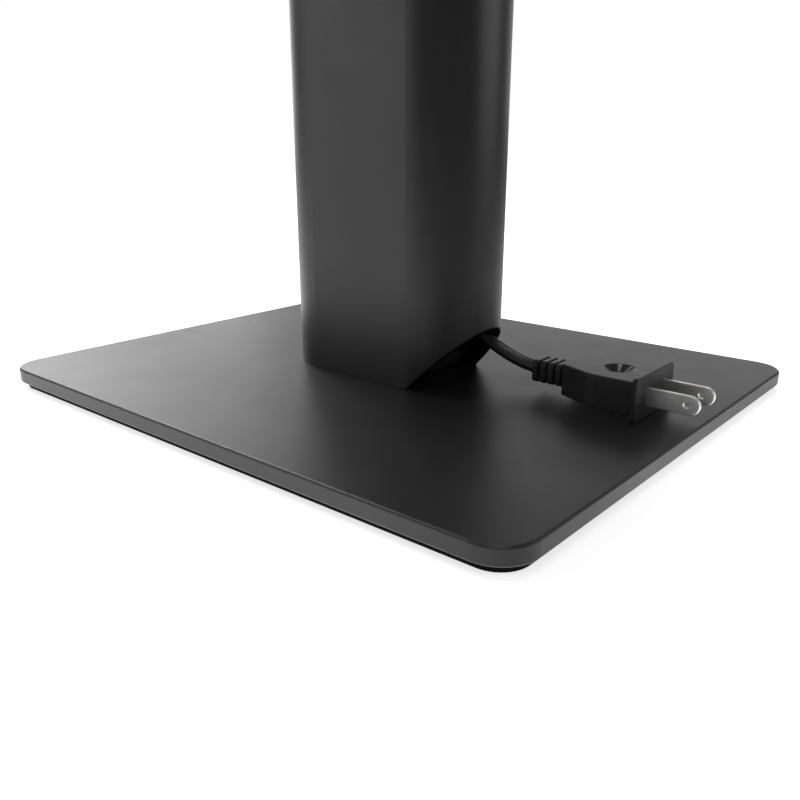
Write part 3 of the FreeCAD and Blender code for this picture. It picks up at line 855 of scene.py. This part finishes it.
class SPEAKERSTAND_OT_plug(bpy.types.Operator):
    """Shapes the moulded plug with its dish, its ribbed relief and its two blades"""

    bl_idname = "speaker_stand.shape_plug"
    bl_label = "Shape the Plug"

    def execute(self, context):
        settings = context.scene.stand_plug
        plug_moulding(settings, dished_moulding(settings))
        ribbed_relief(settings, moulding(settings))
        pierced_blades(settings, nickel())
        return {"FINISHED"}


class SPEAKERSTAND_OT_connector(bpy.types.Operator):
    """Finishes the connector on the cord's upper end"""

    bl_idname = "speaker_stand.finish_connector"
    bl_label = "Finish the Connector"

    def execute(self, context):
        finish = moulding(context.scene.stand_plug)
        dress("connector_body", finish)
        dress("connector_relief", finish)
        dress("connector_contacts", brass())
        return {"FINISHED"}


class SPEAKERSTAND_OT_cord(bpy.types.Operator):
    """Lays the cord: inside the column, out under its foot and up through the platform"""

    bl_idname = "speaker_stand.lay_cord"
    bl_label = "Lay the Cord"

    def execute(self, context):
        settings = context.scene.stand_cord
        finish = jacket(settings)
        foot = raised(FOOT_ROUTE, PLATE_TOP)
        top = raised(TOP_ROUTE, PLATFORM_TOP)
        low, high = foot[0], top[0]
        column = [(low[0] + dx, low[1] + dy, low[2] + share * (high[2] - low[2]))
                  for share, dx, dy in COLUMN_ROUTE]
        for name, route, node in (
            ("foot_cord", foot, "cord_tail"),
            ("column_cord", column, "cord_in_column"),
            ("top_cord", top, "cord_crown"),
        ):
            new_piece(name, cord_curve(name, route, settings.diameter), finish,
                      [node])
        return {"FINISHED"}


class SPEAKERSTAND_OT_studio(bpy.types.Operator):
    """Builds the plain studio: pale floor, soft light, white room and camera"""

    bl_idname = "speaker_stand.build_studio"
    bl_label = "Build the Studio"

    def execute(self, context):
        settings = context.scene.stand_studio
        context.scene.view_settings.view_transform = "Standard"
        place_camera(settings)
        lay_floor(settings)
        paint_room(settings)
        hang_lights(settings)
        return {"FINISHED"}


def place_camera(settings):
    """The camera, close to the floor behind the stand's right rear corner."""
    data = bpy.data.cameras.new("camera")
    data.lens = settings.lens
    data.sensor_width = 36.0
    data.clip_start = 0.005
    camera = link_object("camera", data)
    camera.location = settings.camera_place
    camera.rotation_euler = (math.pi / 2 - settings.camera_tilt, 0.0, settings.camera_heading)
    bpy.context.scene.camera = camera


# The floor reaches this far to each side of the stand.
FLOOR_HALF = 30.0

# The floor's looks change with the distance from the stand's middle: first its matte white,
# painted darker further out as shade, and how much of it the camera sees, then how bright mirrors
# see it.
WHITE_FADE = (0.2, 0.8)
NEAR_WHITE, FAR_WHITE = 0.85, 0.35
MIRRORED_FADE = (0.2, 0.4)
FAR_MIRRORED = 0.5

# Mirrors also see it dim towards these headings, in degrees from +X, between two distances.
DIM_SIDES = ((60.0, (0.12, 0.20)), (160.0, (0.03, 0.20)))
DIM_MIRRORED = 0.12

# The backdrop fades in between these cosines of the angle to its middle, and out between
# these sines of the height above the horizon.
BACKDROP_EDGE = (0.45, 0.90)
BACKDROP_TOP = (0.22, 0.62)


def lay_floor(settings):
    """A pale floor that shows as white and keeps the stand's shadow."""
    half = FLOOR_HALF
    data = bpy.data.meshes.new("floor")
    data.from_pydata([(-half, -half, 0), (half, -half, 0), (half, half, 0), (-half, half, 0)],
                     [], [(0, 1, 2, 3)])
    data.materials.append(pale_floor(settings))
    link_object("floor", data)


def pale_floor(settings):
    """A matte white with a glow that only the camera and mirrors see.

    Mirrors see it dim on the viewer's side and on the right, which keeps the column dark there.
    """
    material = bpy.data.materials.new("pale_floor")
    material.use_nodes = True
    tree = material.node_tree
    tree.nodes.clear()
    place = tree.nodes.new("ShaderNodeTexCoord").outputs["Object"]
    apart = vector_maths(tree, "LENGTH", place)
    matte = tree.nodes.new("ShaderNodeBsdfDiffuse")
    tree.links.new(fade(tree, apart, WHITE_FADE, NEAR_WHITE, FAR_WHITE), matte.inputs["Color"])
    seen = maths(tree, "MULTIPLY", light_path(tree, "Is Camera Ray"),
                 fade(tree, apart, WHITE_FADE, settings.floor_white, 1.0))
    mirrored = maths(tree, "MULTIPLY", mirror_ray(tree),
                     fade(tree, apart, MIRRORED_FADE, 1.0, FAR_MIRRORED))
    for heading, limits in DIM_SIDES:
        along = vector_maths(tree, "DOT_PRODUCT", place, level_direction(math.radians(heading)))
        mirrored = maths(tree, "MULTIPLY", mirrored,
                         fade(tree, along, limits, 1.0, DIM_MIRRORED, "LINEAR"))
    glow = tree.nodes.new("ShaderNodeEmission")
    tree.links.new(maths(tree, "ADD", seen, mirrored), glow.inputs["Strength"])
    both = tree.nodes.new("ShaderNodeAddShader")
    tree.links.new(matte.outputs["BSDF"], both.inputs[0])
    tree.links.new(glow.outputs["Emission"], both.inputs[1])
    output = tree.nodes.new("ShaderNodeOutputMaterial")
    tree.links.new(both.outputs["Shader"], output.inputs["Surface"])
    return material


def maths(tree, operation, first, second):
    """A maths node between two sockets or numbers."""
    made = tree.nodes.new("ShaderNodeMath")
    made.operation = operation
    for socket, value in zip(made.inputs, (first, second)):
        if isinstance(value, float):
            socket.default_value = value
        else:
            tree.links.new(value, socket)
    return made.outputs["Value"]


def vector_maths(tree, operation, vector, other=(0.0, 0.0, 0.0)):
    """The number that a vector maths node makes of a vector."""
    made = tree.nodes.new("ShaderNodeVectorMath")
    made.operation = operation
    made.inputs[1].default_value = other
    tree.links.new(vector, made.inputs[0])
    return made.outputs["Value"]


def fade(tree, value, limits, low, high, shape="SMOOTHSTEP"):
    """Maps the stretch between two limits on to low..high, and holds both outside."""
    made = tree.nodes.new("ShaderNodeMapRange")
    made.interpolation_type = shape
    for name, number in (("From Min", limits[0]), ("From Max", limits[1]), ("To Min", low),
                         ("To Max", high)):
        made.inputs[name].default_value = number
    tree.links.new(value, made.inputs["Value"])
    return made.outputs["Result"]


def light_path(tree, ray):
    """1 for one kind of ray, such as the camera's."""
    return tree.nodes.new("ShaderNodeLightPath").outputs[ray]


def mirror_ray(tree):
    """1 where the ray comes from a mirror or glass."""
    return maths(tree, "MAXIMUM", light_path(tree, "Is Glossy Ray"),
                 light_path(tree, "Is Transmission Ray"))


def level_direction(heading):
    """The level direction at a heading from +X, in radians."""
    return math.cos(heading), math.sin(heading), 0.0


def paint_room(settings):
    """A white backdrop round the stand's far side, in a dimmer room."""
    world = bpy.data.worlds.new("room")
    bpy.context.scene.world = world
    world.use_nodes = True
    tree = world.node_tree
    tree.nodes.clear()
    direction = tree.nodes.new("ShaderNodeTexCoord").outputs["Generated"]
    apart = tree.nodes.new("ShaderNodeSeparateXYZ")
    tree.links.new(direction, apart.inputs["Vector"])
    along = vector_maths(tree, "DOT_PRODUCT", direction,
                         level_direction(settings.backdrop_heading))
    backdrop = maths(tree, "MULTIPLY", fade(tree, along, BACKDROP_EDGE, 0.0, 1.0),
                     fade(tree, apart.outputs["Z"], BACKDROP_TOP, 1.0, 0.0))
    mirrored = maths(tree, "MULTIPLY", backdrop, mirror_ray(tree))
    lit = maths(tree, "ADD", settings.room_light,
                maths(tree, "MULTIPLY", mirrored, 1.0 - settings.room_light))
    strength = maths(tree, "MAXIMUM", lit, light_path(tree, "Is Camera Ray"))
    background = tree.nodes.new("ShaderNodeBackground")
    background.inputs["Color"].default_value = (1.0, 1.0, 1.0, 1.0)
    output = tree.nodes.new("ShaderNodeOutputWorld")
    tree.links.new(strength, background.inputs["Strength"])
    tree.links.new(background.outputs["Background"], output.inputs["Surface"])


# Each soft light's heading from +X and its rise above the floor, in degrees, and its distance
# from the stand's foot and its size, in metres.
SOFT_LIGHTS = {
    "overhead": (-150.0, 87.0, 1.7, (0.3, 0.3)),
    "front": (40.0, 58.0, 1.6, (0.6, 0.4)),
    "high_back": (-95.0, 38.0, 1.6, (0.9, 0.7)),
    "low_back": (-115.0, 12.0, 1.6, (0.75, 0.6)),
    "left": (-45.0, 12.0, 1.6, (0.75, 0.6)),
    "right": (119.0, 16.0, 1.6, (1.1, 0.6)),
}


def hang_lights(settings):
    """Soft lights that face the stand's foot, with their powers from the settings."""
    for name, (heading, rise, distance, size) in SOFT_LIGHTS.items():
        data = bpy.data.lights.new(name, "AREA")
        data.shape = "RECTANGLE"
        data.size, data.size_y = size
        data.energy = getattr(settings, name + "_power")
        turn, tilt = math.radians(heading), math.radians(rise)
        light = link_object(name, data)
        light.location = distance * Vector((math.cos(tilt) * math.cos(turn),
                                            math.cos(tilt) * math.sin(turn), math.sin(tilt)))
        light.rotation_euler = light.location.to_track_quat("Z", "Y").to_euler()


class SPEAKERSTAND_PT_panel(bpy.types.Panel):
    """Lists the steps that dress the stand"""

    bl_idname = "SPEAKERSTAND_PT_panel"
    bl_label = "Speaker Stand"
    bl_space_type = "VIEW_3D"
    bl_region_type = "UI"
    bl_category = "Speaker Stand"

    def draw(self, context):
        for operator in OPERATORS:
            self.layout.operator(operator.bl_idname)
        for name, group in SETTINGS.items():
            box = self.layout.box()
            for field in group.__annotations__:
                box.prop(getattr(context.scene, name), field)


OPERATORS = [
    SPEAKERSTAND_OT_steel,
    SPEAKERSTAND_OT_hardware,
    SPEAKERSTAND_OT_pads,
    SPEAKERSTAND_OT_plug,
    SPEAKERSTAND_OT_connector,
    SPEAKERSTAND_OT_cord,
    SPEAKERSTAND_OT_studio,
]


def register():
    """Adds the settings, the operators and the panel to Blender."""
    for name, group in SETTINGS.items():
        bpy.utils.register_class(group)
        setattr(bpy.types.Scene, name, bpy.props.PointerProperty(type=group))
    for item in OPERATORS + [SPEAKERSTAND_PT_panel]:
        bpy.utils.register_class(item)


def unregister():
    """Takes them out again."""
    for item in reversed(OPERATORS + [SPEAKERSTAND_PT_panel]):
        bpy.utils.unregister_class(item)
    for name, group in SETTINGS.items():
        delattr(bpy.types.Scene, name)
        bpy.utils.unregister_class(group)


def main():
    """Dresses the stand and builds its studio."""
    register()
    bpy.ops.speaker_stand.coat_steel()
    bpy.ops.speaker_stand.finish_hardware()
    bpy.ops.speaker_stand.make_pads()
    bpy.ops.speaker_stand.shape_plug()
    bpy.ops.speaker_stand.finish_connector()
    bpy.ops.speaker_stand.lay_cord()
    bpy.ops.speaker_stand.build_studio()


if __name__ == "__main__":
    main()
